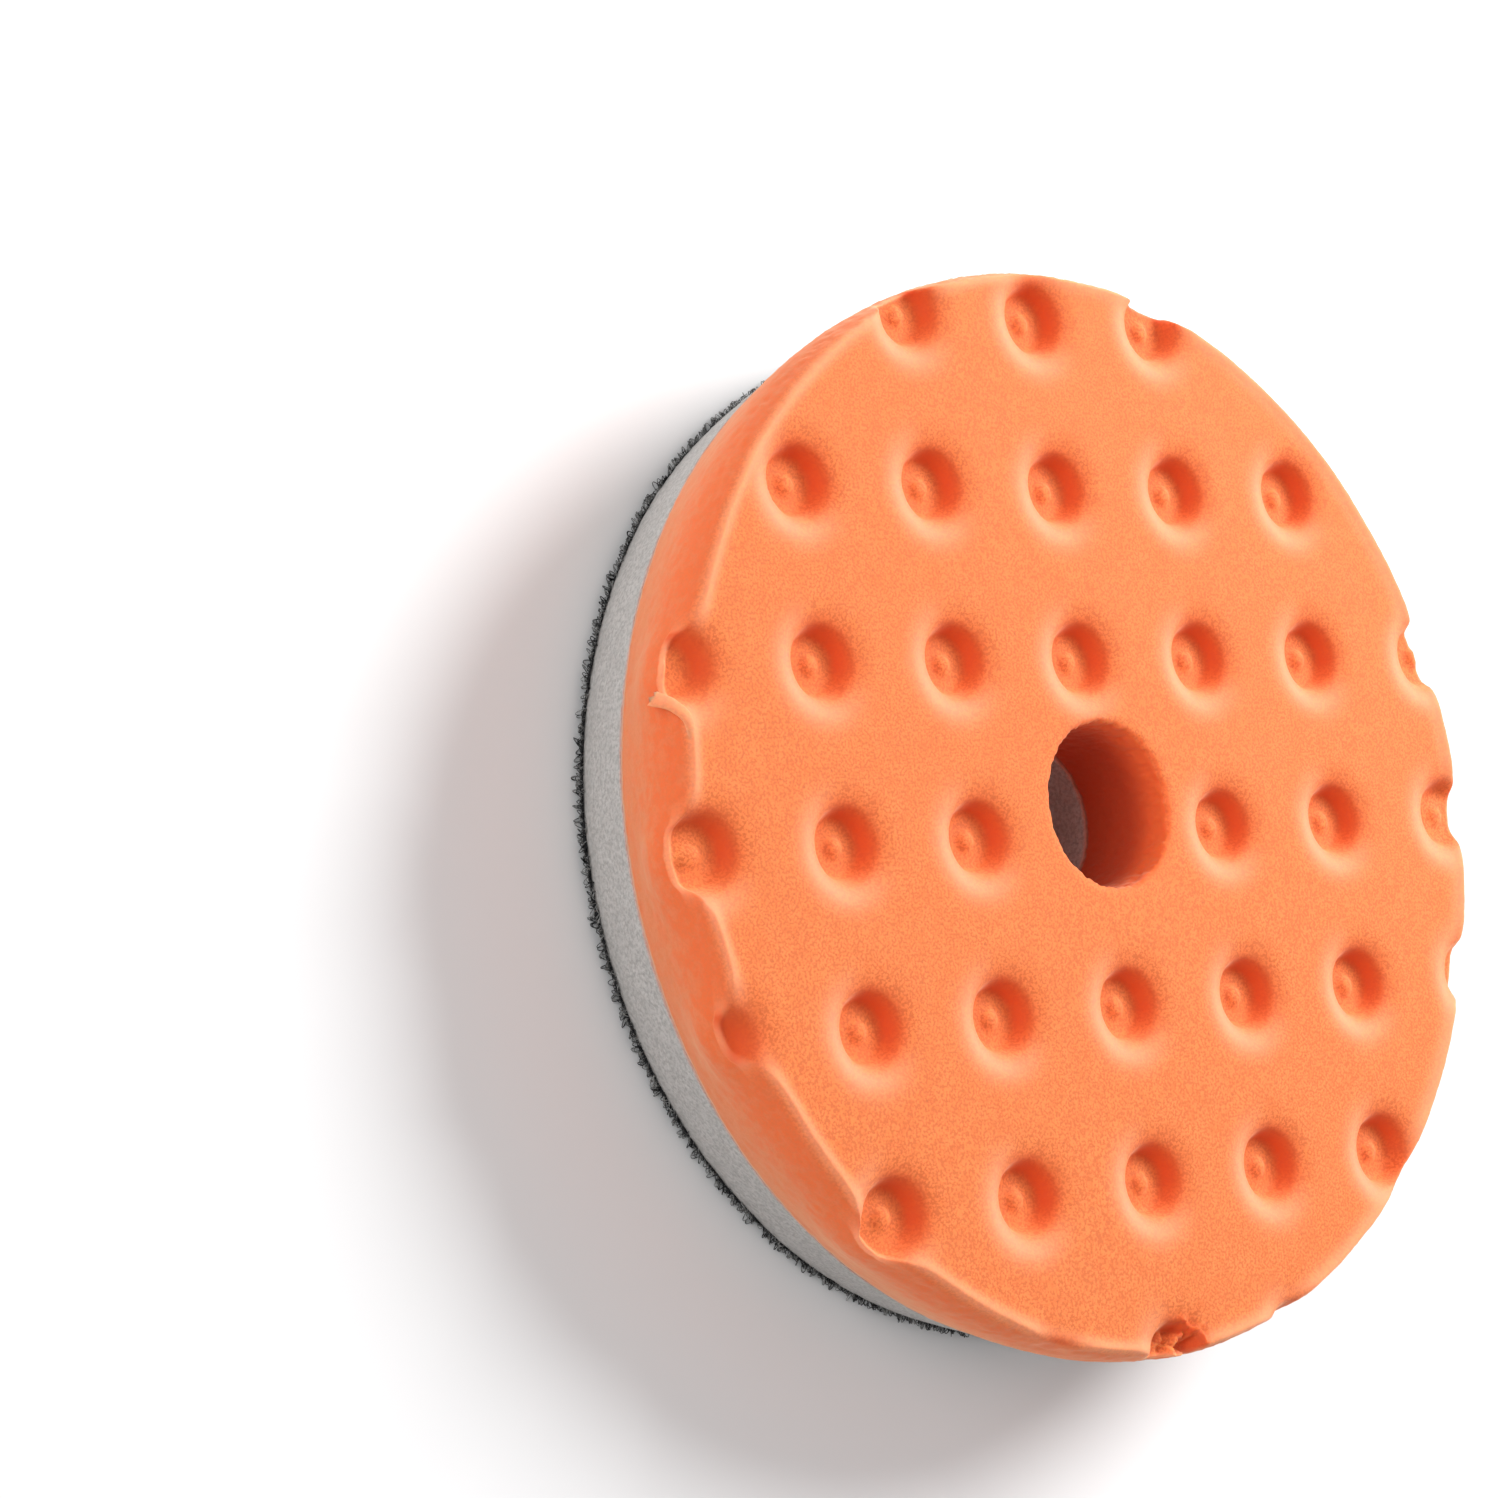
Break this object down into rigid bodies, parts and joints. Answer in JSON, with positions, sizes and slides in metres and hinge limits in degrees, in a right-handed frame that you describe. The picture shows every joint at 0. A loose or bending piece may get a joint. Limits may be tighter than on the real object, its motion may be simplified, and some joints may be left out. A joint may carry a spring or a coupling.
{
  "type": "polishing pad",
  "caption": "Round foam polishing pad with a dimpled working face, a firmer interface layer, a hook-and-loop backing and a centre hole.",
  "frame": {"origin": "centre of the loop fabric's lower face, on the axis of the centre hole", "axes": "+Z along the pad's axis towards the dimpled working face; X and Y run along the dimple grid's columns and rows"},
  "size_m": [0.165, 0.165, 0.032],
  "materials": {
    "loop_fabric": "brushed black nylon loop pile",
    "adhesive_film": "thin cured adhesive film",
    "interface_foam": "open-cell grey polyurethane foam, matt, finely speckled",
    "polishing_foam": "open-cell orange polyurethane foam, matt, soft moulded skin on the dimpled face"
  },
  "bodies": {
    "root": {"loop_backing": "loop_fabric", "backing_adhesive": "adhesive_film", "interface_foam": "interface_foam", "foam_adhesive": "adhesive_film", "polishing_foam": "polishing_foam"}
  },
  "joints": []
}
